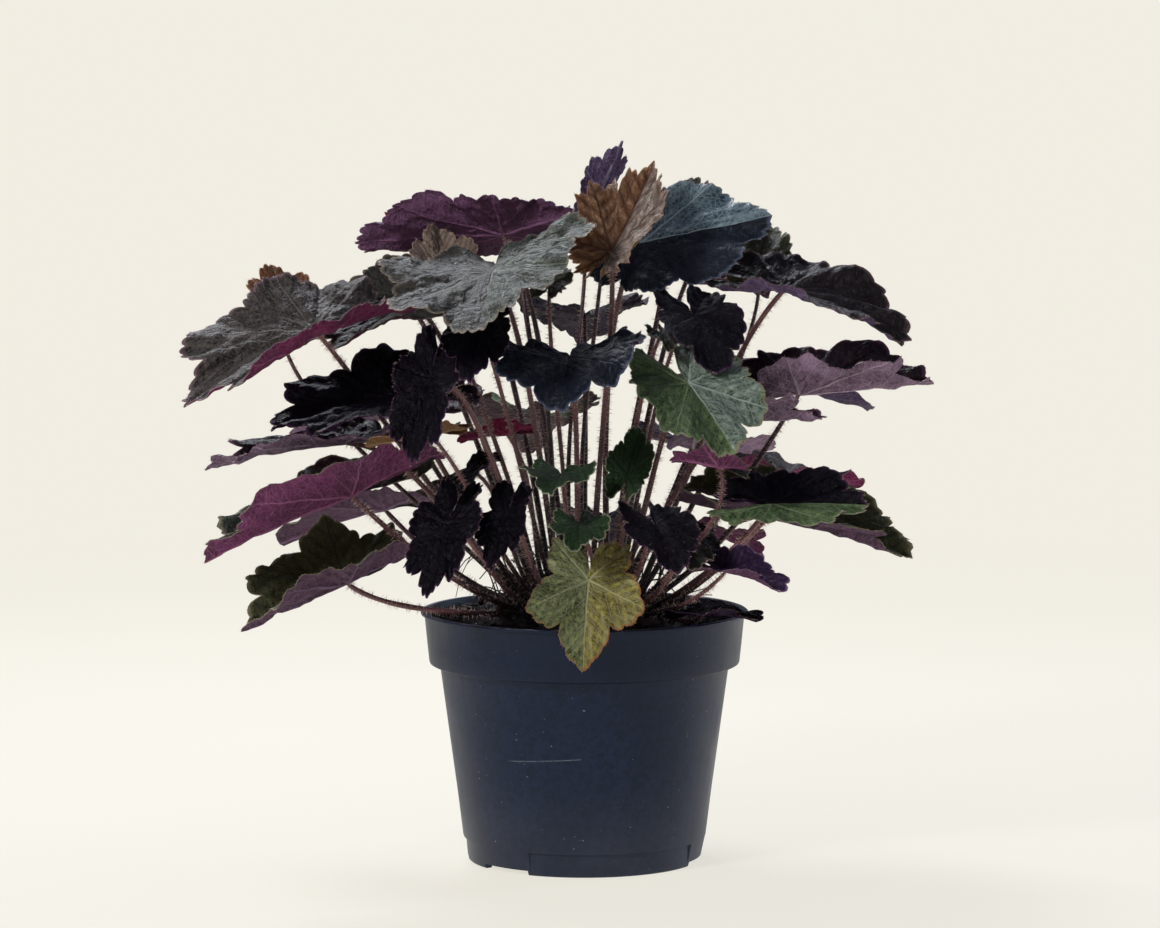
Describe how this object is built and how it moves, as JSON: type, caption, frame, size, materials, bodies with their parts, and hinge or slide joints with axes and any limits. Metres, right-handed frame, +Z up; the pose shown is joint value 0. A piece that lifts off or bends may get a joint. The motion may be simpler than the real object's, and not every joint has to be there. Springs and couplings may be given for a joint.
{
  "type": "heuchera plant",
  "caption": "Dark-leaved heuchera with ruffled lobed leaves on hairy stalks, growing from potting soil in a round tapered nursery pot.",
  "frame": {"origin": "Middle of the underside of the pot, on the floor the pot stands on.", "axes": "+Z up along the pot axis; -Y toward the front of the plant; +X to the right seen from the front."},
  "size_m": [0.3815, 0.3135, 0.3732],
  "materials": {
    "pot": "satin",
    "soil": "matte",
    "crown": "matte",
    "leaf_grey": "satin",
    "leaf_silver": "satin",
    "leaf_purple": "satin",
    "leaf_black": "satin",
    "leaf_green": "satin",
    "leaf_bronze": "satin",
    "leaf_magenta": "satin"
  },
  "bodies": {
    "root": {"nursery_pot": "pot", "potting_soil": "soil", "crown": "crown", "leaf_silver_front": "leaf_silver", "leaf_grey_far_left": "leaf_grey", "leaf_grey_left": "leaf_grey", "leaf_purple_top": "leaf_purple", "leaf_bronze_top": "leaf_bronze", "leaf_slate_right": "leaf_black", "leaf_dark_right": "leaf_black", "leaf_green_facing": "leaf_green", "leaf_folded_right": "leaf_purple", "leaf_dark_left": "leaf_black", "leaf_magenta_left": "leaf_magenta", "leaf_olive_low_left": "leaf_purple", "leaf_olive_right": "leaf_purple", "leaf_magenta_right": "leaf_magenta", "leaf_black_green_right": "leaf_green", "leaf_star": "leaf_bronze", "leaf_blue_black": "leaf_black", "leaf_hanging_left": "leaf_black", "leaf_hanging_mid": "leaf_black", "leaf_lobed_far_left": "leaf_grey", "leaf_brown_curled": "leaf_bronze", "leaf_hanging_low": "leaf_black", "leaf_green_mid": "leaf_green", "leaf_green_low": "leaf_green", "leaf_green_up": "leaf_green", "leaf_black_mid": "leaf_black", "leaf_purple_arched": "leaf_magenta", "leaf_dark_mid_left": "leaf_black", "leaf_violet_right": "leaf_purple", "leaf_brown_inner_right": "leaf_bronze", "leaf_purple_right": "leaf_purple", "leaf_dark_rim_right": "leaf_black", "leaf_red_strip": "leaf_magenta", "leaf_dark_inner_left": "leaf_black", "leaf_inner": "leaf_black", "leaf_olive_tiny": "leaf_green", "leaf_green_tiny": "leaf_green", "leaf_tan_young": "leaf_bronze", "leaf_pink_left": "leaf_purple", "leaf_bronze_far_left": "leaf_bronze", "leaf_violet_crest": "leaf_purple", "leaf_grey_crest": "leaf_grey", "leaf_green_crest": "leaf_green", "leaf_brown_right": "leaf_bronze", "leaf_back_top": "leaf_grey", "leaf_back_high_left": "leaf_grey", "leaf_back_high_right": "leaf_green", "leaf_back_mid": "leaf_black", "leaf_back_left": "leaf_purple", "leaf_back_right": "leaf_black", "leaf_back_low": "leaf_green", "leaf_back_low_right": "leaf_purple", "leaf_back_far_right": "leaf_grey", "leaf_back_side_left": "leaf_green", "leaf_back_rim": "leaf_black", "leaf_back_rim_right": "leaf_grey"}
  },
  "joints": []
}
